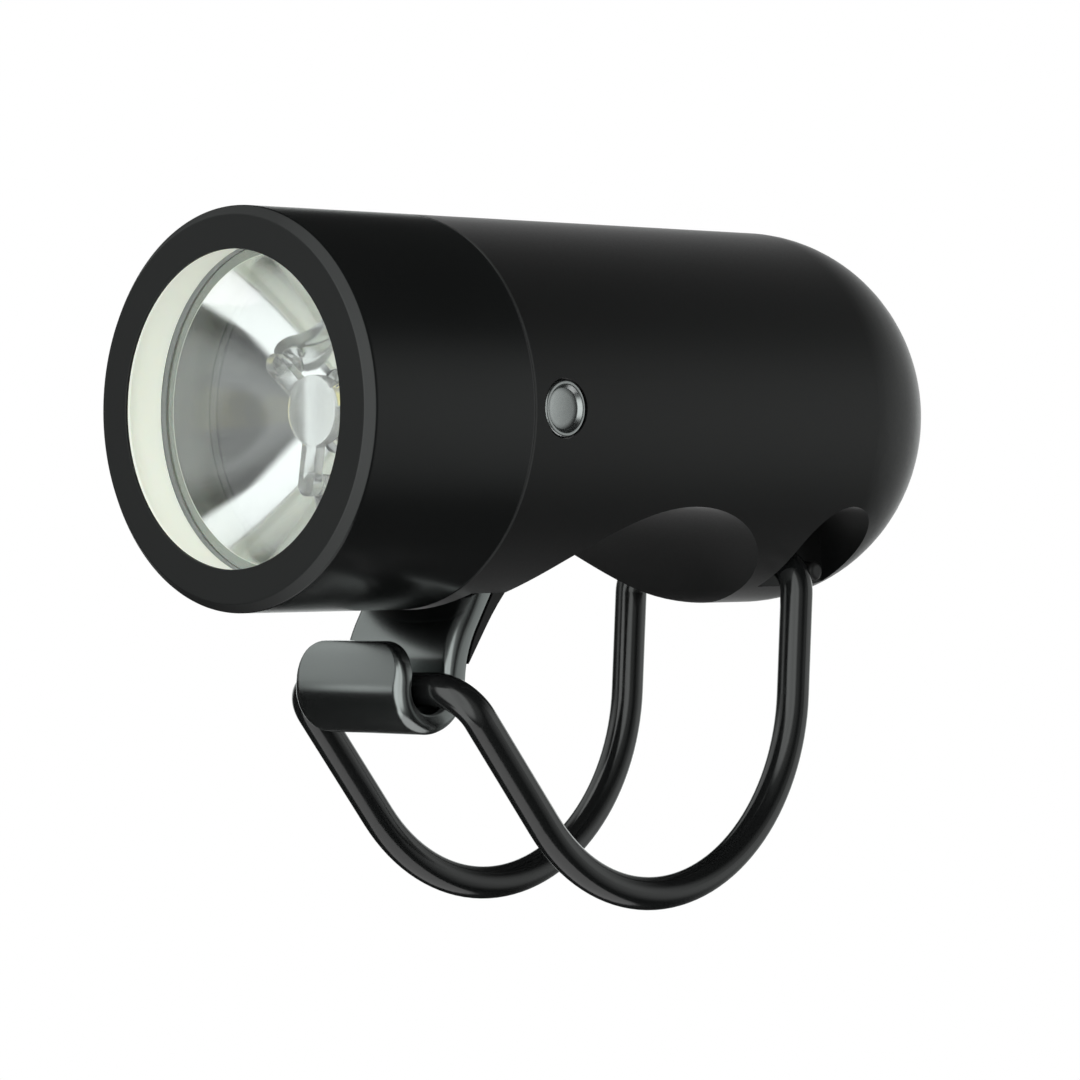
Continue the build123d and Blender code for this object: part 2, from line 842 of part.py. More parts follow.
with BuildPart() as hook_form:
    with BuildSketch(side):
        with BuildLine():
            bend_start = 180 - hook_lip_lean
            bend_size = 180 + hook_lip_lean
            outer_right = hook_station + hook_radius
            inner_right = hook_inner_station + hook_inner_radius
            outer_foot, outer_top = lip_line(hook_station, hook_radius)
            inner_foot, inner_top = lip_line(hook_inner_station, hook_inner_radius)
            CenterArc((hook_station, -hook_drop), hook_radius, bend_start, bend_size)
            CenterArc((hook_inner_station, -hook_drop), hook_inner_radius, bend_start, bend_size)
            Polyline(outer_foot, outer_top, inner_top, inner_foot)
            back = JernArc((outer_right, -hook_drop), (0, 1), hook_plate_curve, -hook_plate_lean)
            front_curve = hook_plate_curve + hook_plate_wall
            front = JernArc((inner_right, -hook_drop), (0, 1), front_curve, -hook_plate_lean)
            Polyline(back @ 1, tongue_end(back @ 1), tongue_end(front @ 1), front @ 1)
        make_face()
    extrude(amount=hook_half_width, both=True)
    with BuildSketch(across(hook_station - hook_radius - overrun)):
        with Locations((0, -hook_lip_top)):
            Rectangle((hook_half_width + overrun) * 2, hook_lip_corner * 2)
        with Locations((0, -hook_lip_top - hook_lip_corner)):
            SlotOverall(hook_half_width * 2, hook_lip_corner * 2, mode=Mode.SUBTRACT)
    extrude(amount=-(hook_radius + overrun), mode=Mode.SUBTRACT)
    shoulder_width = hook_half_width - hook_tongue_half_width
    shoulder_height = hook_shoulder_drop - hook_tongue_top + overrun
    shoulder_middle = -hook_shoulder_drop + shoulder_height / 2
    for side_sign in (-1, 1):
        block(
            across(hook_station),
            (side_sign * (hook_tongue_half_width + shoulder_width), shoulder_middle),
            shoulder_width * 2,
            shoulder_height,
            -hook_shoulder_cut,
            mode=Mode.SUBTRACT,
        )
    tongue_rise = hook_drop - hook_pin_drop - hook_plate_curve * sin(radians(hook_plate_lean))
    hook_pin_station = (
        outer_right
        + hook_plate_curve * (1 - cos(radians(hook_plate_lean)))
        + tongue_rise * hook_lean_slope
        - hook_plate_wall / 2 / cos(radians(hook_plate_lean))
    )
    rods(
        side.offset(-hook_half_width),
        [(hook_pin_station, -hook_pin_drop)],
        hook_pin_radius,
        hook_half_width * 2,
        Mode.SUBTRACT,
    )

with BuildPart() as hook_bracket:
    add(hook_form.part)
    hook_sides = edges().group_by(Axis.X)
    fillet(hook_sides[0] + hook_sides[-1], hook_edge_round)

with BuildPart() as hook_pin:
    rods(
        side.offset(-hook_pin_half_length),
        [(hook_pin_station, -hook_pin_drop)],
        hook_pin_radius,
        hook_pin_half_length * 2,
    )

# Body shell
web_half_width = 6.6
strap_hole_gap = 0.08
leg_half_width = 6.4
leg_foot_stand = 4.6
leg_foot_shift = 2.6
leg_top_bite = 2.6
leg_top_shift = 5.6
leg_line = 9.0

leg_foot_drop = barrel_radius + leg_foot_stand
leg_foot_station = hook_station + leg_foot_shift
leg_top_drop = barrel_radius - leg_top_bite
leg_top_station = hook_station + leg_top_shift
seat_depth = leg_foot_drop + leg_line
seat_centre = Vector(seat_station, -seat_drop)
flank_turn = radians(flank_start_angle)
flank_shift = flank_radius - seat_radius
flank_centre = seat_centre + Vector(sin(flank_turn), -cos(flank_turn)) * flank_shift
lip_cosine = (seat_drop - barrel_radius - lip_overrun + lip_radius) / (seat_radius + lip_radius)
lip_angle = degrees(acos(lip_cosine))


def up_from(centre, radius, lean):
    """Point at a radius from a centre, straight up but for a lean towards the front."""
    return centre + Vector(-sin(radians(lean)), cos(radians(lean))) * radius


with BuildPart() as barrel_form:
    with BuildSketch(side):
        with BuildLine():
            cap_turn = degrees(asin(tail_corner_inset / tail_cap_swell))
            top = Line((head_length, barrel_radius), (straight_length, barrel_radius))
            corner_arc = JernArc(top @ 1, (1, 0), tail_corner_radius, cap_turn - 90)
            cap_arc = JernArc(corner_arc @ 1, corner_arc % 1, tail_cap_radius, -cap_turn)
            Polyline(cap_arc @ 1, (head_length, 0), top @ 0)
        make_face()
    revolve(axis=light_axis)

with BuildPart() as cavity:
    with BuildSketch(side):
        with BuildLine():
            inner_corner = tail_corner_radius - body_wall
            inner_turn = degrees(asin((cavity_end - straight_length) / inner_corner))
            inner_arc = JernArc((straight_length, inner_radius), (1, 0), inner_corner, -inner_turn)
            Polyline(
                inner_arc @ 1,
                (cavity_end, 0),
                (neck_station - overrun, 0),
                (neck_station - overrun, neck_inner_radius),
                (neck_end, neck_inner_radius),
                (neck_end, inner_radius),
                (straight_length, inner_radius),
            )
        make_face()
    revolve(axis=light_axis)
    with BuildSketch(side):
        with BuildLine():
            flank_top = seat_radius + seat_wall
            flank_skin = flank_radius + seat_wall
            floor_end = pocket_station + pocket_radius + seat_wall
            CenterArc(seat_centre, flank_top, 90, flank_start_angle)
            CenterArc(flank_centre, flank_skin, 90 + flank_start_angle, flank_end_angle - flank_start_angle)
            Polyline(
                up_from(seat_centre, flank_top, 0),
                (floor_end, -seat_drop + flank_top),
                (floor_end, -seat_depth),
                (up_from(flank_centre, flank_skin, flank_end_angle).X, -seat_depth),
                up_from(flank_centre, flank_skin, flank_end_angle),
            )
        make_face()
    extrude(amount=barrel_radius, both=True, mode=Mode.SUBTRACT)
    slot_top = -seat_drop + flank_top + overrun
    slot_foot = lug_foot - lug_gap
    block(
        across(pin_station + lug_length / 2 + lug_gap),
        (0, (slot_top + slot_foot) / 2),
        lug_width + lug_gap * 2,
        slot_top - slot_foot,
        lug_length + lug_gap * 2,
    )

with BuildPart() as body_shell:
    add(barrel_form.part)
    chamfer(edges().sort_by(Axis.Y)[0], seam_chamfer)
    with BuildSketch(side):
        with BuildLine():
            Polyline(
                (leg_foot_station, -leg_foot_drop),
                (leg_top_station, -leg_top_drop),
                (seat_station, -leg_top_drop),
                (seat_station, -leg_foot_drop),
                close=True,
            )
        make_face()
    extrude(amount=leg_half_width, both=True)
    band(neck_station, head_length + overrun, 0, neck_radius)
    band(
        groove_station,
        groove_station + groove_width,
        neck_radius - groove_depth,
        neck_radius + overrun,
        Mode.SUBTRACT,
    )
    with BuildSketch(side):
        with BuildLine():
            lip_centre = up_from(seat_centre, seat_radius + lip_radius, -lip_angle)
            lip_foot = -barrel_radius - lip_overrun
            leg_head = up_from(flank_centre, flank_radius, flank_end_angle)
            leg_turn = radians(flank_end_angle)
            leg_low = leg_head - Vector(cos(leg_turn), sin(leg_turn)) * leg_line
            CenterArc(
                flank_centre,
                flank_radius,
                90 + flank_start_angle,
                flank_end_angle - flank_start_angle,
            )
            CenterArc(seat_centre, seat_radius, 90 - lip_angle, lip_angle + flank_start_angle)
            CenterArc(lip_centre, lip_radius, 270 - lip_angle, lip_angle)
            Polyline(
                (lip_centre.X, lip_foot),
                (lip_centre.X + overrun, lip_foot),
                (lip_centre.X + overrun, -seat_depth),
                (leg_low.X, -seat_depth),
                leg_low,
                leg_head,
            )
        make_face()
    extrude(amount=barrel_radius + overrun, both=True, mode=Mode.SUBTRACT)
    for side_sign in (-1, 1):
        with BuildSketch(side.offset(side_sign * web_half_width)):
            with Locations((pocket_station, -pocket_drop)):
                Circle(pocket_radius)
            with Locations((pocket_station, -pocket_drop - barrel_radius / 2)):
                Rectangle(pocket_radius * 2, barrel_radius)
        extrude(amount=side_sign * barrel_radius, mode=Mode.SUBTRACT)
    rods(
        side.offset(-web_half_width - overrun),
        [(rear_bar_station, -rear_bar_drop)],
        strap_radius + strap_hole_gap,
        (web_half_width + overrun) * 2,
        Mode.SUBTRACT,
    )
    add(cavity.part, mode=Mode.SUBTRACT)
    rods(
        side.offset(-web_half_width - overrun),
        [(pin_station, -pin_drop)],
        pin_radius,
        (web_half_width + overrun) * 2,
        Mode.SUBTRACT,
    )
    rods(
        side.offset(button_flange_face),
        [(button_station, 0)],
        button_radius + button_gap,
        barrel_radius,
        Mode.SUBTRACT,
    )
    rods(
        side.offset(button_flange_face),
        [(button_station, 0)],
        button_flange_radius + button_gap,
        -button_recess_depth,
        Mode.SUBTRACT,
    )
    block(
        across(recess_station),
        (0, (cover_notch - face_gap) / 2),
        recess_width + face_gap * 2,
        recess_height + face_gap + cover_notch,
        -tail_corner_radius,
        recess_corner,
        Mode.SUBTRACT,
    )
    bead_groove_half_length = cover_bead_half_length + face_gap
    rods(
        side.offset(-bead_groove_half_length),
        [(cover_hinge_station, -cover_hinge_drop)],
        cover_bead_radius + face_gap,
        bead_groove_half_length * 2,
        Mode.SUBTRACT,
    )
    block(
        across(cavity_end - overrun),
        (0, 0),
        socket_width + port_gap * 2,
        socket_height + port_gap * 2,
        -tail_corner_radius,
        socket_corner + port_gap,
        Mode.SUBTRACT,
    )
    add(hook_form.part, mode=Mode.SUBTRACT)
    add(hook_pin.part, mode=Mode.SUBTRACT)

with BuildPart() as port_cover:
    block(
        across(recess_station + face_gap),
        (0, 0),
        recess_width,
        recess_height,
        -tail_corner_radius,
        recess_corner,
    )
    add(barrel_form.part, mode=Mode.INTERSECT)
    rods(
        side.offset(-cover_bead_half_length),
        [(cover_hinge_station, -cover_hinge_drop)],
        cover_bead_radius,
        cover_bead_half_length * 2,
    )

pieces = {
    "head_bezel": head_bezel,
    "glow_ring": glow_ring,
    "front_window": front_window,
    "window_seal": window_seal,
    "reflector": reflector,
    "optic_retainer": optic_retainer,
    "collimator_lens": collimator_lens,
    "led_emitter": led_emitter,
    "led_phosphor": led_phosphor,
    "led_board": led_board,
    "led_board_screws": led_board_screws,
    "led_leads": led_leads,
    "heat_sink": heat_sink,
    "head_seal": head_seal,
    "driver_board": driver_board,
    "driver_components": driver_components,
    "driver_screws": driver_screws,
    "mode_button": mode_button,
    "button_seal": button_seal,
    "switch_plunger": switch_plunger,
    "tact_switch": tact_switch,
    "switch_board": switch_board,
    "battery_cell": battery_cell,
    "battery_tabs": battery_tabs,
    "battery_pads": battery_pads,
    "battery_cradle": battery_cradle,
    "carrier_pin": carrier_pin,
    "usb_board": usb_board,
    "usb_socket": usb_socket,
    "power_leads": power_leads,
    "strap": strap,
    "hook_bracket": hook_bracket,
    "hook_pin": hook_pin,
    "body_shell": body_shell,
    "port_cover": port_cover,
}

for name, piece in pieces.items():
    piece.part.label = name
    export_step(piece.part, f"parts/{name}.step")
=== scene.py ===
import json
import math

import bmesh
import bpy
from mathutils import Matrix, Vector


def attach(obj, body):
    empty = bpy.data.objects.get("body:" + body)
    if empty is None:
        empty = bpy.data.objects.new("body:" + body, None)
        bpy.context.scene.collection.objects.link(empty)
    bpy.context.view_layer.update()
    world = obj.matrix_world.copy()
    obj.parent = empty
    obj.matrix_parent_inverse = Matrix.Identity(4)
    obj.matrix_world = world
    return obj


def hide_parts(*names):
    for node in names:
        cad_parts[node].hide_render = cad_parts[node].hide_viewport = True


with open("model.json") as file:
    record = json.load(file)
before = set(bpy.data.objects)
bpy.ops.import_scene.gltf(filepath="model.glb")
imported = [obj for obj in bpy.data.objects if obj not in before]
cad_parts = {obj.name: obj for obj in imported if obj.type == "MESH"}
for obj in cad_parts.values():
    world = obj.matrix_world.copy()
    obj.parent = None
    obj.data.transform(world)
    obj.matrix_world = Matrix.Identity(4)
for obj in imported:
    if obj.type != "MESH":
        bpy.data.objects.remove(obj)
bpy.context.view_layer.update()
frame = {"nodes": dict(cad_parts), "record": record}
nodes = frame["nodes"]

# Shared sizes in millimetres. A station runs from the front of the light towards its tail.
MM = 0.001
SEAT_STATION = 38.5
SEAT_DROP = 24.8
HEAD_LENGTH = 17.9
HEAD_RADIUS = 16.0
OPENING_RADIUS = 12.56
LIP_THICKNESS = 0.25
OPTIC_BORE = 14.2
NECK_BORE = 14.4
FLANGE_BACK = 6.95


def at(x, station, height):
    """Row-frame point from the side distance, the station and the height above the light's axis, in mm."""
    return Vector((x, station - SEAT_STATION, height + SEAT_DROP)) * MM


# Shader nodes
def node_tree(block):
    """Empty node tree of a material or a world."""
    block.use_nodes = True
    block.node_tree.nodes.clear()
    return block.node_tree


def add_node(tree, kind, feeds=None, **settings):
    """New shader node with its settings, and a value or a link for each input that is named or numbered."""
    made = tree.nodes.new(kind)
    for name, value in settings.items():
        setattr(made, name, value)
    for key, value in (feeds or {}).items():
        if isinstance(value, bpy.types.NodeSocket):
            tree.links.new(value, made.inputs[key])
        else:
            made.inputs[key].default_value = value
    return made


def calculate(tree, operation, first, *others):
    """One result from sockets and plain numbers, taken in turn."""
    total = first
    for other in others:
        total = add_node(tree, "ShaderNodeMath", {0: total, 1: other}, operation=operation).outputs[0]
    return total


def vector_step(tree, operation, vector, second=(0, 0, 0)):
    """Outputs of a vector node that works on a socket and a fixed vector."""
    return add_node(tree, "ShaderNodeVectorMath", {0: vector, 1: second}, operation=operation).outputs


def noise(tree, scale, roughness):
    """Noise in object space."""
    place = add_node(tree, "ShaderNodeTexCoord").outputs["Object"]
    feeds = {"Vector": place, "Scale": scale, "Detail": 3.0, "Roughness": roughness}
    return add_node(tree, "ShaderNodeTexNoise", feeds).outputs["Fac"]


def between(tree, factor, low, high, from_low=0.3, from_high=0.7):
    """A factor's range laid on the range from low to high."""
    feeds = {"Value": factor, "From Min": from_low, "From Max": from_high, "To Min": low, "To Max": high}
    return add_node(tree, "ShaderNodeMapRange", feeds).outputs[0]


def tint(tree, factor, low, high):
    """Colour that goes from low to high with a factor."""
    ramp = add_node(tree, "ShaderNodeValToRGB", {0: factor})
    for element, position, colour in zip(ramp.color_ramp.elements, (0.3, 0.7), (low, high)):
        element.position = position
        element.color = (*colour, 1)
    return ramp.outputs[0]


# Materials
BUMP_DEPTH = 0.02 * MM
SUBSURFACE_DEPTH = 2 * MM
COAT_ROUGHNESS = 0.1
SHEEN_ROUGHNESS = 0.3


def surface(
    name,
    low,
    high,
    rough,
    metallic=0.0,
    specular=0.5,
    grain=3000.0,
    bump=0.1,
    cloud=120.0,
    ior=1.5,
    coat=0.0,
    transmission=0.0,
    subsurface=0.0,
    glow=0.0,
    sheen=0.0,
):
    """A material with a slow change of tone, a finer change of roughness and a fine grain."""
    material = bpy.data.materials.new(name)
    tree = node_tree(material)
    fine = noise(tree, grain, 0.6)
    feeds = {
        "Base Color": tint(tree, noise(tree, cloud, 0.5), low, high),
        "Roughness": between(tree, fine, *rough),
        "Metallic": metallic,
        "Specular IOR Level": specular,
        "IOR": ior,
        "Coat Weight": coat,
        "Coat Roughness": COAT_ROUGHNESS,
        "Transmission Weight": transmission,
        "Sheen Weight": sheen,
        "Sheen Roughness": SHEEN_ROUGHNESS,
    }
    # Emission here is painted light, not a lamp: it brightens the cream ring deep in its recess and the LED's
    # yellow phosphor.
    if glow:
        feeds |= {"Emission Color": (*high, 1), "Emission Strength": glow}
    if subsurface:
        feeds |= {"Subsurface Weight": subsurface, "Subsurface Scale": SUBSURFACE_DEPTH}
    if bump:
        height = {"Height": fine, "Strength": bump, "Distance": BUMP_DEPTH}
        feeds["Normal"] = add_node(tree, "ShaderNodeBump", height).outputs[0]
    shader = add_node(tree, "ShaderNodeBsdfPrincipled", feeds)
    add_node(tree, "ShaderNodeOutputMaterial", {0: shader.outputs[0]})
    return material


looks = {}


def look(name, low, high, rough, **finish):
    """Keep a surface under the name of its material slot."""
    looks[name] = surface(name, low, high, rough, **finish)


look("head_black", (0.0045, 0.0050, 0.0049), (0.0055, 0.0061, 0.0060), (0.20, 0.25), grain=5200, cloud=60)
look(
    "body_black", (0.0016, 0.0018, 0.0018), (0.0022, 0.0024, 0.0024), (0.36, 0.42),
    grain=4200, cloud=60, sheen=0.3,
)
# The cream ring's emission is painted light that brightens it deep in the head's opening.
look(
    "glow_cream", (0.86, 0.88, 0.77), (0.90, 0.92, 0.82), (0.35, 0.45),
    specular=0.4, subsurface=0.15, bump=0.03, cloud=90, glow=0.2,
)
look(
    "window_clear", (0.98, 0.995, 0.99), (0.99, 1.0, 0.995), (0.0, 0.01),
    transmission=1.0, ior=1.49, bump=0.0, cloud=40,
)
look(
    "lens_clear", (0.95, 0.97, 0.965), (0.98, 0.99, 0.985), (0.16, 0.22),
    transmission=0.86, ior=1.45, bump=0.0, cloud=300,
)
look(
    "reflector_mirror", (0.90, 0.91, 0.91), (0.93, 0.94, 0.94), (0.06, 0.10),
    metallic=1.0, bump=0.02, grain=900, cloud=70,
)
look("seal_rubber", (0.018, 0.018, 0.018), (0.024, 0.024, 0.024), (0.5, 0.6))
look("seal_clear", (0.62, 0.66, 0.66), (0.70, 0.74, 0.74), (0.35, 0.45), specular=0.4)
look("led_ceramic", (0.80, 0.80, 0.77), (0.86, 0.86, 0.83), (0.4, 0.5))
# The LED's weak emission is painted light that brightens its yellow phosphor.
look("led_yellow", (0.88, 0.80, 0.28), (0.94, 0.87, 0.36), (0.45, 0.55), bump=0.15, glow=0.6)
look("board_white", (0.78, 0.79, 0.78), (0.84, 0.85, 0.84), (0.35, 0.45))
look("board_green", (0.02, 0.16, 0.08), (0.03, 0.20, 0.10), (0.3, 0.4))
look("component_black", (0.02, 0.02, 0.02), (0.03, 0.03, 0.03), (0.45, 0.55))
look("screw_steel", (0.58, 0.58, 0.56), (0.66, 0.66, 0.64), (0.25, 0.35), metallic=1.0)
look("pin_steel", (0.012, 0.012, 0.012), (0.018, 0.018, 0.018), (0.35, 0.45))
look("sink_aluminium", (0.68, 0.69, 0.70), (0.75, 0.76, 0.77), (0.3, 0.4), metallic=1.0)
look(
    "button_steel", (0.52, 0.545, 0.54), (0.58, 0.605, 0.60), (0.22, 0.30),
    metallic=1.0, grain=5000, bump=0.08, cloud=400,
)
look("nickel", (0.62, 0.61, 0.56), (0.70, 0.69, 0.64), (0.25, 0.35), metallic=1.0)
look("cell_wrap", (0.08, 0.20, 0.40), (0.12, 0.25, 0.46), (0.2, 0.3), coat=0.3)
look("pad_foam", (0.08, 0.08, 0.08), (0.12, 0.12, 0.12), (0.8, 0.9), bump=0.4)
look("cradle_plastic", (0.10, 0.10, 0.10), (0.13, 0.13, 0.13), (0.45, 0.55))
look("socket_steel", (0.56, 0.56, 0.56), (0.64, 0.64, 0.64), (0.25, 0.35), metallic=1.0)
look("lead_red", (0.40, 0.02, 0.02), (0.50, 0.04, 0.04), (0.4, 0.5))
look(
    "strap_rubber", (0.004, 0.0045, 0.0045), (0.006, 0.0065, 0.0065), (0.13, 0.18),
    specular=1.0, grain=4200, bump=0.05,
)
look(
    "hook_grey", (0.32, 0.34, 0.335), (0.36, 0.38, 0.375), (0.20, 0.24),
    metallic=1.0, grain=5200, bump=0.01, cloud=90,
)
look(
    "cover_rubber", (0.009, 0.010, 0.010), (0.012, 0.013, 0.013), (0.5, 0.6),
    specular=0.35, grain=4200, bump=0.15, cloud=80,
)

# Bands about the light's axis where a material changes, in mm
BAND_BLEND = 0.04
# The side fade paints the head chamfer's highlight in full only on the right side
HIGHLIGHT_FADE_FROM, HIGHLIGHT_FADE_TO = 5, 15
CHAMFER_INNER, CHAMFER_OUTER = 15.26, 15.97
FACE_INNER = 12.5
HEAD_BAND_END = 1.0
RIM_BAND_INNER, RIM_BAND_OUTER, RIM_BAND_END = 12.46, 13.4, 5.6


def band_mask(tree, inner, outer, last, highlight_left_share=1.0):
    """1 between two radii and up to a station, in mm. Away from the right side it falls to a given share,
    which paints a highlight on the right side only.
    """
    place = add_node(tree, "ShaderNodeTexCoord").outputs["Object"]
    from_axis = vector_step(tree, "SUBTRACT", place, at(0, 0, 0))[0]
    across = vector_step(tree, "MULTIPLY", from_axis, (1 / MM, 0, 1 / MM))[0]
    radius = vector_step(tree, "LENGTH", across)["Value"]
    apart = add_node(tree, "ShaderNodeSeparateXYZ", {0: from_axis}).outputs
    return calculate(
        tree,
        "MULTIPLY",
        between(tree, radius, 0, 1, inner, inner + BAND_BLEND),
        between(tree, radius, 1, 0, outer - BAND_BLEND, outer),
        between(tree, apart[1], 1, 0, last * MM, (last + BAND_BLEND) * MM),
        between(tree, apart[0], highlight_left_share, 1, HIGHLIGHT_FADE_FROM * MM, HIGHLIGHT_FADE_TO * MM),
    )


def shader_input(tree, name):
    """A linked input of a material's shader, and what feeds it."""
    shader = next(node for node in tree.nodes if node.type == "BSDF_PRINCIPLED")
    return shader.inputs[name], shader.inputs[name].links[0].from_socket


def recolour(slot, colour, *band):
    """Lay a second colour over a material's own on a band."""
    tree = looks[slot].node_tree
    socket, own = shader_input(tree, "Base Color")
    over = add_node(tree, "ShaderNodeMixRGB", {0: band_mask(tree, *band), 1: own, 2: (*colour, 1)})
    tree.links.new(over.outputs[0], socket)


def roughen(slot, least, *band):
    """Raise a material's roughness to at least a value on a band."""
    tree = looks[slot].node_tree
    socket, own = shader_input(tree, "Roughness")
    share = calculate(tree, "MULTIPLY", band_mask(tree, *band), least)
    tree.links.new(calculate(tree, "MAXIMUM", own, share), socket)


# The head's chamfer gets a paler colour as a painted highlight, in full only on the right side, and its face
# and chamfer are matter.
# The bowl's rim is darker.
recolour("head_black", (0.026, 0.028, 0.0275), CHAMFER_INNER, CHAMFER_OUTER, HEAD_BAND_END, 0.1)
roughen("head_black", 0.5, FACE_INNER, CHAMFER_OUTER, HEAD_BAND_END)
recolour("reflector_mirror", (0.36, 0.38, 0.38), RIM_BAND_INNER, RIM_BAND_OUTER, RIM_BAND_END)


def dress(obj, slot):
    """Give an object the look of a material slot."""
    obj.data.materials.clear()
    obj.data.materials.append(looks[slot])


for part in frame["record"]["subparts"]:
    dress(nodes[part["node"]], part["material_slot"])

# Finer pieces
TURNS = 192
MERGE_DISTANCE = 1e-8
SHARP_ANGLE = math.radians(40)


def add_object(name, verts, faces):
    """New mesh object in the scene."""
    mesh = bpy.data.meshes.new(name)
    mesh.from_pydata(verts, [], faces)
    obj = bpy.data.objects.new(name, mesh)
    bpy.context.scene.collection.objects.link(obj)
    return obj


def add_piece(name, verts, faces, slot, body, replaced):
    """Smooth closed piece with sharp edges where faces meet at a large angle."""
    obj = add_object(name, verts, faces)
    shape = bmesh.new()
    shape.from_mesh(obj.data)
    bmesh.ops.remove_doubles(shape, verts=shape.verts, dist=MERGE_DISTANCE)
    bmesh.ops.recalc_face_normals(shape, faces=shape.faces)
    for face in shape.faces:
        face.smooth = True
    for edge in shape.edges:
        edge.smooth = edge.calc_face_angle(0) < SHARP_ANGLE
    shape.to_mesh(obj.data)
    shape.free()
    dress(obj, slot)
    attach(obj, body)
    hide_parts(replaced)


def turned(name, profile, slot, replaced, body="housing", place=at):
    """Closed ring or disc turned from (along, radius) points in mm. place puts an (x, along, z) point."""
    count = len(profile)
    verts = []
    for turn in range(TURNS):
        angle = 2 * math.pi * turn / TURNS
        x_share, z_share = math.cos(angle), math.sin(angle)
        verts += [place(radius * x_share, along, radius * z_share) for along, radius in profile]
    faces = []
    for turn in range(TURNS):
        here, ahead = turn * count, (turn + 1) % TURNS * count
        for row in range(count):
            after = (row + 1) % count
            on_axis, after_on_axis = profile[row][1] == 0, profile[after][1] == 0
            if on_axis and after_on_axis:
                continue
            if on_axis:
                faces.append([here + row, here + after, ahead + after])
            elif after_on_axis:
                faces.append([here + row, here + after, ahead + row])
            else:
                faces.append([here + row, here + after, ahead + after, ahead + row])
    add_piece(name, verts, faces, slot, body, replaced)


def arc(start, middle, end, steps):
    """Points on the circle through three points, from start to end."""
    (ax, ay), (bx, by), (cx, cy) = start, middle, end
    a, b, c = ax**2 + ay**2, bx**2 + by**2, cx**2 + cy**2
    divisor = 2 * (ax * (by - cy) + bx * (cy - ay) + cx * (ay - by))
    x = (a * (by - cy) + b * (cy - ay) + c * (ay - by)) / divisor
    y = (a * (cx - bx) + b * (ax - cx) + c * (bx - ax)) / divisor
    radius = math.hypot(ax - x, ay - y)
    first, last = math.atan2(ay - y, ax - x), math.atan2(cy - y, cx - x)
    sweep = math.remainder(last - first, 2 * math.pi)
    angles = [first + sweep * step / steps for step in range(steps + 1)]
    return [(x + radius * math.cos(angle), y + radius * math.sin(angle)) for angle in angles]


def inward(station, radius, steps):
    """Profile points given as steps subtracted from a station and from a radius."""
    return [(station - back, radius - depth) for back, depth in steps]


# Head: crisp chamfer with tiny rounds, flat lip and two bores
LIP_BEVEL = 0.05
CHAMFER_FRONT_STEPS = [(0, 0.8), (0, 0.76), (-0.03, 0.67), (-0.06, 0.64)]
CHAMFER_BACK_STEPS = [(-0.57, 0.1), (-0.6, 0.07), (-0.69, 0.02), (-0.8, 0), (-0.9, 0)]
HEAD_BACK_STEPS = [(0.3, 0), (0.18, 0), (0.1, 0.02), (0.02, 0.1), (0, 0.18)]
FACE_START = 12.7
turned(
    "head",
    [
        (LIP_BEVEL, OPENING_RADIUS),
        (0, OPENING_RADIUS + LIP_BEVEL),
        (0, FACE_START),
        *inward(0, HEAD_RADIUS, CHAMFER_FRONT_STEPS + CHAMFER_BACK_STEPS),
        *inward(HEAD_LENGTH, HEAD_RADIUS, HEAD_BACK_STEPS),
        (HEAD_LENGTH, NECK_BORE),
        (FLANGE_BACK, NECK_BORE),
        (FLANGE_BACK, OPTIC_BORE),
        (LIP_THICKNESS, OPTIC_BORE),
        (LIP_THICKNESS, OPENING_RADIUS),
    ],
    "head_black",
    "head_bezel",
)

# Reflector: mirrored bowl with a flange round its rim
RIM = (5.35, 12.43)
FLOOR = (12.8, 3.5)
FLOOR_HOLE = 2.6
FLOOR_BACK = (13.8, 4.4)
BOWL_SAG = 0.5
BACK_SHIFT = 0.7
FLANGE_FRONT = 5.95
FLANGE_RADIUS = 14.1
RIM_RADIUS = 13.3
FRONT_STEPS, BACK_STEPS = 48, 24

run, fall = FLOOR[0] - RIM[0], RIM[1] - FLOOR[1]
chord = math.hypot(run, fall)
middle = ((RIM[0] + FLOOR[0]) / 2 + BOWL_SAG * fall / chord, (RIM[1] + FLOOR[1]) / 2 + BOWL_SAG * run / chord)
back_middle = (middle[0] + BACK_SHIFT, middle[1] + BACK_SHIFT)
turned(
    "bowl",
    [
        *arc(RIM, middle, FLOOR, FRONT_STEPS),
        (FLOOR[0], FLOOR_HOLE),
        (FLOOR_BACK[0], FLOOR_HOLE),
        *arc(FLOOR_BACK, back_middle, (FLANGE_BACK, RIM[1]), BACK_STEPS),
        (FLANGE_BACK, FLANGE_RADIUS),
        (FLANGE_FRONT, FLANGE_RADIUS),
        (FLANGE_FRONT, RIM_RADIUS),
        (RIM[0], RIM_RADIUS),
    ],
    "reflector_mirror",
    "reflector",
)

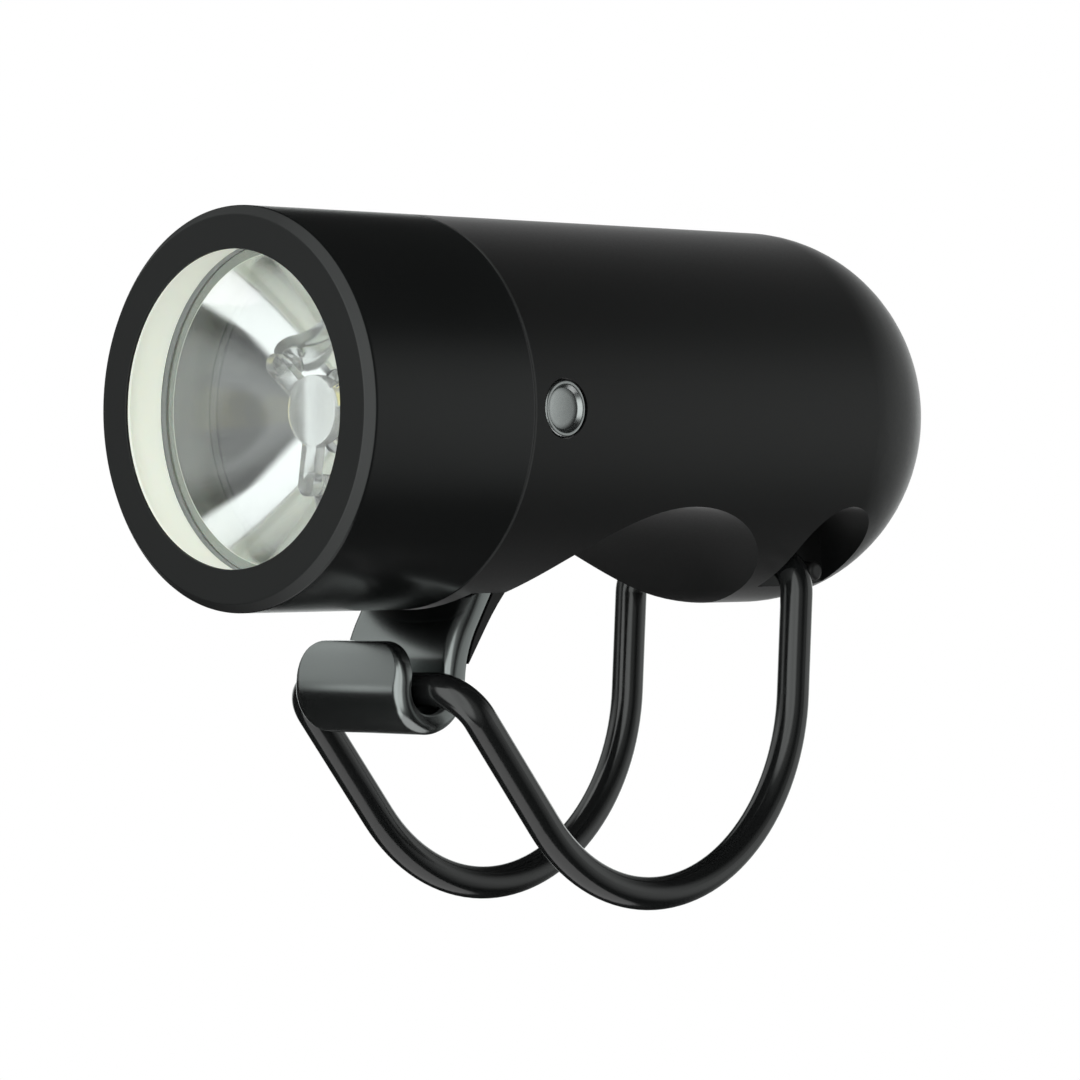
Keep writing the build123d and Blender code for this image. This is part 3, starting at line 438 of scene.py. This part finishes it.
# Window: clear disc with a frosted, bevelled edge
WINDOW_FRONT, WINDOW_BACK, WINDOW_RADIUS = 4.56, 5.34, 13.85
EDGE_FRONT, EDGE_BACK, EDGE_INNER, EDGE_OUTER = 4.55, 5.35, 13.87, 14.10
EDGE_BEVEL = 0.03
turned(
    "window",
    [(WINDOW_FRONT, 0), (WINDOW_FRONT, WINDOW_RADIUS), (WINDOW_BACK, WINDOW_RADIUS), (WINDOW_BACK, 0)],
    "window_clear",
    "front_window",
)
turned(
    "window_edge",
    [
        (EDGE_FRONT + EDGE_BEVEL, EDGE_INNER),
        (EDGE_FRONT, EDGE_INNER + EDGE_BEVEL),
        (EDGE_FRONT, EDGE_OUTER - EDGE_BEVEL),
        (EDGE_FRONT + EDGE_BEVEL, EDGE_OUTER),
        (EDGE_BACK - EDGE_BEVEL, EDGE_OUTER),
        (EDGE_BACK, EDGE_OUTER - EDGE_BEVEL),
        (EDGE_BACK, EDGE_INNER + EDGE_BEVEL),
        (EDGE_BACK - EDGE_BEVEL, EDGE_INNER),
    ],
    "seal_clear",
    "front_window",
)

# Lens: softened moulded edges
LENS_VOXEL = 0.09 * MM
lens = nodes["collimator_lens"]
grid = lens.modifiers.new("moulded", "REMESH")
grid.mode = "VOXEL"
grid.voxel_size = LENS_VOXEL
grid.use_smooth_shade = True
melt = lens.modifiers.new("melted", "SMOOTH")
melt.factor = 0.5
melt.iterations = 8

# Button: dished cap with a soft raised rim, a groove for its seal, a flange and a stem
BUTTON_SETBACK = 3.4
BUTTON_STATION = HEAD_LENGTH + BUTTON_SETBACK
BUTTON_RADIUS = 2.3
DISH_FLOOR, DISH_RISE, DISH_RADIUS, DISH_STEPS = 15.48, 0.10, 1.62, 4
CAP_TOP = 15.92
RIM_STEPS = [
    (0.31, 0.64), (0.26, 0.60), (0.05, 0.39), (0.01, 0.35), (0, 0.31),
    (0, 0.18), (0.01, 0.14), (0.04, 0.10), (0.12, 0.03), (0.18, 0),
]
GROOVE_TOP, GROOVE_FOOT, GROOVE_RADIUS = 15.1, 14.3, 1.8
BUTTON_FLANGE_TOP, BUTTON_FLANGE_FOOT, BUTTON_FLANGE_RADIUS = 13.5, 12.8, 2.9
STEM_FOOT, STEM_RADIUS = 11.9, 1.2


def on_button(x, along, z):
    """Row-frame point on the button, whose axis runs out to the right side."""
    return at(along, BUTTON_STATION + x, z)


dish = [
    (DISH_FLOOR + DISH_RISE * (step / DISH_STEPS) ** 2, DISH_RADIUS * step / DISH_STEPS)
    for step in range(DISH_STEPS + 1)
]
turned(
    "button",
    [
        *dish,
        *inward(CAP_TOP, BUTTON_RADIUS, RIM_STEPS),
        (GROOVE_TOP, BUTTON_RADIUS),
        (GROOVE_TOP, GROOVE_RADIUS),
        (GROOVE_FOOT, GROOVE_RADIUS),
        (GROOVE_FOOT, BUTTON_RADIUS),
        (BUTTON_FLANGE_TOP, BUTTON_RADIUS),
        (BUTTON_FLANGE_TOP, BUTTON_FLANGE_RADIUS),
        (BUTTON_FLANGE_FOOT, BUTTON_FLANGE_RADIUS),
        (BUTTON_FLANGE_FOOT, STEM_RADIUS),
        (STEM_FOOT, STEM_RADIUS),
        (STEM_FOOT, 0),
    ],
    "button_steel",
    "mode_button",
    body="button",
    place=on_button,
)

# Hook: strip bent to a J with well rounded edges, from the top of its lip to the end of its tongue
HOOK_HALF_WIDTH, TONGUE_HALF_WIDTH = 6.4, 4.6
BEND_HEIGHT = -22.2
OUTER_BEND_STATION, OUTER_BEND_RADIUS = 15.8, 3.7
INNER_BEND_STATION, INNER_BEND_RADIUS = 15.45, 1.95
LIP_TOP, LIP_CORNER, LIP_LEAN = -18.4, 3.2, 10
TOP_TRIM, TOP_TRIM_FROM_SHARE = 0.15, 0.8
PLATE_STATION, PLATE_LEAN = 28.5, 31
PLATE_RADII = (9.0, 11.1)
TONGUE_TOP = -10.8
PLATE_MIDDLE_SHARES = (0.24, 0.19)
SHOULDER_SHARES = (0.4826, 0.3841)
LIP_STEPS, BEND_STEPS, BEND_EVEN_STEPS, PLATE_STEPS, CORNER_STEPS = 11, 32, 20, 8, 8
# Edge rounds of the strip's outer face and of its inner face, at the places that they change between
TOP_ROUNDS = (0.25, 0.25)
FOOT_ROUNDS = (1.0, 0.25)
BEND_ROUNDS = (1.0, 0.35)
BEND_END_ROUNDS = (0.4, 0.8)
PLATE_ROUNDS = (0.4, 1.2)
TONGUE_ROUNDS = (0.2, 0.2)


def mixed(first, second, share):
    """Pair of values that lies a share of the way from the first pair to the second."""
    return tuple(a + (b - a) * share for a, b in zip(first, second))


def face_point(station, radius, lean, top, share):
    """Point on a leaning face, from where it leaves its bend (0) to its top (1)."""
    angle = math.radians(lean)
    foot = (station - radius * math.cos(angle), BEND_HEIGHT + radius * math.sin(angle))
    rise = (top - foot[1]) * share
    return foot[0] + rise * math.tan(angle), foot[1] + rise


def lip_faces(share):
    """Points on the lip's outer and inner face."""
    bends = ((OUTER_BEND_STATION, OUTER_BEND_RADIUS), (INNER_BEND_STATION, INNER_BEND_RADIUS))
    return [face_point(*bend, LIP_LEAN, LIP_TOP, share) for bend in bends]


def plate_faces(shares):
    """Points on the two faces of the plate's straight part."""
    pairs = zip(PLATE_RADII, shares)
    return [face_point(PLATE_STATION, radius, PLATE_LEAN, TONGUE_TOP, share) for radius, share in pairs]


def section(faces, half_width, rounds):
    """Cross-section of the strip as row-frame points: a rectangle with its corners rounded."""
    outer, inner = (Vector(face) for face in faces)
    wall = (inner - outer).length
    across = (inner - outer).normalized()
    points = []
    for side, on_inner, turn in ((1, False, -90), (1, True, 0), (-1, True, 90), (-1, False, 180)):
        radius = rounds[on_inner]
        centre_x = side * (half_width - radius)
        centre_depth = wall - radius if on_inner else radius
        for step in range(CORNER_STEPS + 1):
            angle = math.radians(turn + 90 * step / CORNER_STEPS)
            place = outer + across * (centre_depth + radius * math.sin(angle))
            points.append(at(centre_x + radius * math.cos(angle), *place))
    return points


def lip_sections():
    """From the lip's top, whose corners are round, down to the bend."""
    rise = LIP_TOP - lip_faces(0)[0][1]
    for step in range(LIP_STEPS + 1):
        fall = math.radians(90 - 90 * step / LIP_STEPS)
        past = 1 - math.sin(fall)
        trim = TOP_TRIM * max(0.0, math.sin(fall) - TOP_TRIM_FROM_SHARE) / (1 - TOP_TRIM_FROM_SHARE)
        half_width = HOOK_HALF_WIDTH - LIP_CORNER * (1 - math.cos(fall)) - trim
        faces = lip_faces(1 - LIP_CORNER * past / rise)
        yield section(faces, half_width, mixed(TOP_ROUNDS, FOOT_ROUNDS, past))


def bend_sections():
    """Round the bend below the strap."""
    start = 180 - LIP_LEAN
    for step in range(1, BEND_STEPS + 1):
        angle = math.radians(start + (360 - start) * step / BEND_STEPS)
        faces = [
            (station + radius * math.cos(angle), BEND_HEIGHT + radius * math.sin(angle))
            for station, radius in (
                (OUTER_BEND_STATION, OUTER_BEND_RADIUS),
                (INNER_BEND_STATION, INNER_BEND_RADIUS),
            )
        ]
        share = max(0, step - BEND_EVEN_STEPS) / (BEND_STEPS - BEND_EVEN_STEPS)
        yield section(faces, HOOK_HALF_WIDTH, mixed(BEND_ROUNDS, BEND_END_ROUNDS, share))


def plate_sections():
    """Up the curved plate, along its straight part and in over the shoulders to the tongue."""
    for step in range(1, PLATE_STEPS + 1):
        lean = math.radians(PLATE_LEAN * step / PLATE_STEPS)
        faces = [
            (PLATE_STATION - radius * math.cos(lean), BEND_HEIGHT + radius * math.sin(lean))
            for radius in PLATE_RADII
        ]
        yield section(faces, HOOK_HALF_WIDTH, mixed(BEND_END_ROUNDS, PLATE_ROUNDS, step / PLATE_STEPS))
    for shares in (PLATE_MIDDLE_SHARES, SHOULDER_SHARES):
        yield section(plate_faces(shares), HOOK_HALF_WIDTH, PLATE_ROUNDS)
    for shares in (SHOULDER_SHARES, (1, 1)):
        yield section(plate_faces(shares), TONGUE_HALF_WIDTH, TONGUE_ROUNDS)


sections = [*lip_sections(), *bend_sections(), *plate_sections()]
size = len(sections[0])
last = (len(sections) - 1) * size
strip_faces = [tuple(range(size)), tuple(reversed(range(last, last + size)))]
for row in range(0, last, size):
    for column in range(size):
        after = (column + 1) % size
        strip_faces.append((row + column, row + after, row + size + after, row + size + column))
strip_points = [point for points in sections for point in points]
add_piece("hook", strip_points, strip_faces, "hook_grey", "housing", "hook_bracket")

# Floor
FLOOR_HEIGHT, FLOOR_RADIUS, FLOOR_SIDES = -0.42, 0.28, 96
FLOOR_GREY = (0.86, 0.86, 0.86, 1)
FLOOR_GLOW = 0.6
WHITE = (1, 1, 1, 1)


def lit_floor():
    """Pale matt floor that looks brighter to the camera and through glass than it lights."""
    pale = bpy.data.materials.new("pale_floor")
    tree = node_tree(pale)
    matt = add_node(tree, "ShaderNodeBsdfDiffuse", {0: FLOOR_GREY}).outputs[0]
    bright = add_node(tree, "ShaderNodeEmission", {0: WHITE, 1: FLOOR_GLOW}).outputs[0]
    both = add_node(tree, "ShaderNodeAddShader", {0: matt, 1: bright}).outputs[0]
    rays = add_node(tree, "ShaderNodeLightPath").outputs
    seen = calculate(tree, "MAXIMUM", rays["Is Camera Ray"], rays["Is Transmission Ray"])
    mix = add_node(tree, "ShaderNodeMixShader", {0: seen, 1: matt, 2: both})
    add_node(tree, "ShaderNodeOutputMaterial", {0: mix.outputs[0]})
    return pale


floor_angles = [2 * math.pi * side / FLOOR_SIDES for side in range(FLOOR_SIDES)]
floor_points = [(FLOOR_RADIUS * math.cos(a), FLOOR_RADIUS * math.sin(a), FLOOR_HEIGHT) for a in floor_angles]
ground = add_object("stage_floor", floor_points, [tuple(range(FLOOR_SIDES))])
ground.data.materials.append(lit_floor())

# Room: white to the camera, a soft fill for matt surfaces, and for mirrors and glass a dark room with
# bright panels that were fitted to the photograph
ROOM_LEVEL = 0.02
MIRROR_CEILING = 1.25
MIRROR_TONE = (0.965, 1.0, 0.985, 1)
FILL_LEVEL = 0.42
# Each panel: direction, inner and outer angle in degrees, strength, and flatness where it isn't round.
# A strength below 0 takes light away.
PANELS = (
    # Past the light, as the camera looks
    ((-0.70, 0.71, 0.0), 12, 42, 1.15, 2.6),
    # Behind the tail
    ((0.05, 1.0, 0.0), 20, 60, 0.42, 1.8),
    # Behind on the right
    ((0.70, 0.71, -0.05), 14, 38, 0.20),
    # Ahead on the left, one large and one small
    ((-0.70, -0.68, 0.20), 8, 22, 0.42, 1.5),
    ((-0.70, -0.71, -0.03), 3, 9, 0.8, 1.3),
    # High on the left
    ((-0.78, -0.25, 0.60), 12, 36, 0.6),
    # Tall strip straight ahead
    ((-0.06, -1.0, 0.0), 12, 19, 1.25, 0.1),
    # Round the camera
    ((0.72, -0.66, 0.0), 22, 50, 0.22, 0.8),
    # High and low ahead
    ((-0.16, -0.44, 0.88), 16, 22, 1.25),
    ((-0.16, -0.44, -0.88), 16, 22, 1.25),
    # Dark patch beside the camera
    ((0.53, -0.83, 0.18), 5, 9, -0.12, 0.28),
)
# Tall panel beside the camera, which the clear pieces don't pass on
SIDE_PANEL = ((0.45, -0.89, 0.0), 25, 38, 0.9, 0.6)
FILL_PANEL = ((0.40, -0.90, 0.12), 30, 85, 1.0)

world = bpy.data.worlds.new("studio")
bpy.context.scene.world = world
world.cycles.sampling_method = "NONE"
room = node_tree(world)
around = add_node(room, "ShaderNodeTexCoord").outputs["Generated"]
rays = add_node(room, "ShaderNodeLightPath").outputs


def panel(direction, inner, outer, strength, flat=1.0):
    """A soft bright panel of the room. A flatness over 1 makes it wider than tall."""
    squashed = vector_step(room, "MULTIPLY", around, (1, 1, flat))[0]
    unit = vector_step(room, "NORMALIZE", squashed)[0]
    aim = Vector(direction)
    aim.z *= flat
    nearness = vector_step(room, "DOT_PRODUCT", unit, aim.normalized())["Value"]
    feeds = {
        "Value": nearness,
        "From Min": math.cos(math.radians(outer)),
        "From Max": math.cos(math.radians(inner)),
        "To Max": strength,
    }
    return add_node(room, "ShaderNodeMapRange", feeds, interpolation_type="SMOOTHSTEP").outputs[0]


def background(colour, strength):
    """Room light of one colour. Its strength is a number, or a socket that varies with the direction."""
    return add_node(room, "ShaderNodeBackground", {0: colour, 1: strength}).outputs[0]


def mixed_light(factor, first, second):
    """The first light where the factor is 0 and the second where it is 1."""
    return add_node(room, "ShaderNodeMixShader", {0: factor, 1: first, 2: second}).outputs[0]


def none_yet(depth):
    """1 while a ray has had no bounce of a kind."""
    return calculate(room, "LESS_THAN", rays[depth], 0.5)


side_panel = calculate(room, "MULTIPLY", panel(*SIDE_PANEL), none_yet("Transmission Depth"))
mirror_sum = calculate(room, "ADD", ROOM_LEVEL, *[panel(*line) for line in PANELS], side_panel)
mirror_light = calculate(room, "MINIMUM", mirror_sum, MIRROR_CEILING)
fill_light = calculate(room, "ADD", FILL_LEVEL, panel(*FILL_PANEL))
by_gloss = calculate(room, "MAXIMUM", rays["Is Glossy Ray"], rays["Is Transmission Ray"])
mirrored = calculate(room, "MULTIPLY", by_gloss, none_yet("Diffuse Depth"))
unseen = mixed_light(mirrored, background(WHITE, fill_light), background(MIRROR_TONE, mirror_light))
seen = mixed_light(rays["Is Camera Ray"], unseen, background(WHITE, 1.0))
add_node(room, "ShaderNodeOutputWorld", {0: seen})

# Soft lights
LIGHTS_AIM = Vector((0, 0, 0.02))


def softbox(name, place, size, radiance):
    """Round soft light, unseen in mirrors and glass, that looks at the part."""
    light = bpy.data.lights.new(name, "AREA")
    light.shape = "DISK"
    light.size = size
    light.energy = radiance * math.pi * math.pi * (size / 2) ** 2
    obj = bpy.data.objects.new(name, light)
    bpy.context.scene.collection.objects.link(obj)
    obj.location = place
    obj.rotation_mode = "QUATERNION"
    obj.rotation_quaternion = (LIGHTS_AIM - Vector(place)).to_track_quat("-Z", "Y")
    obj.visible_glossy = False
    obj.visible_transmission = False


softbox("top_box", (0, -0.12, 0.78), 0.9, 0.9)
softbox("front_box", (0.35, -0.95, 0.20), 0.8, 1.6)

# Camera
EYE = (0.28721, -0.29450, 0.01570)
RIGHT = Vector((0.71099, 0.70318, -0.00600))
UP = Vector((0.00193, 0.00659, 0.99998))
AHEAD = Vector((-0.70320, 0.71098, -0.00333))
FOCAL_LENGTH = 163.62

camera = bpy.data.cameras.new("camera")
camera.sensor_width = 36.0
camera.lens = FOCAL_LENGTH
camera.clip_start = 0.01
camera.clip_end = 50.0
eye = bpy.data.objects.new("camera", camera)
bpy.context.scene.collection.objects.link(eye)
eye.matrix_world = Matrix.Translation(EYE) @ Matrix((RIGHT, UP, -AHEAD)).transposed().to_4x4()
bpy.context.scene.camera = eye
bpy.context.scene.view_settings.view_transform = "Standard"

bpy.context.view_layer.update()
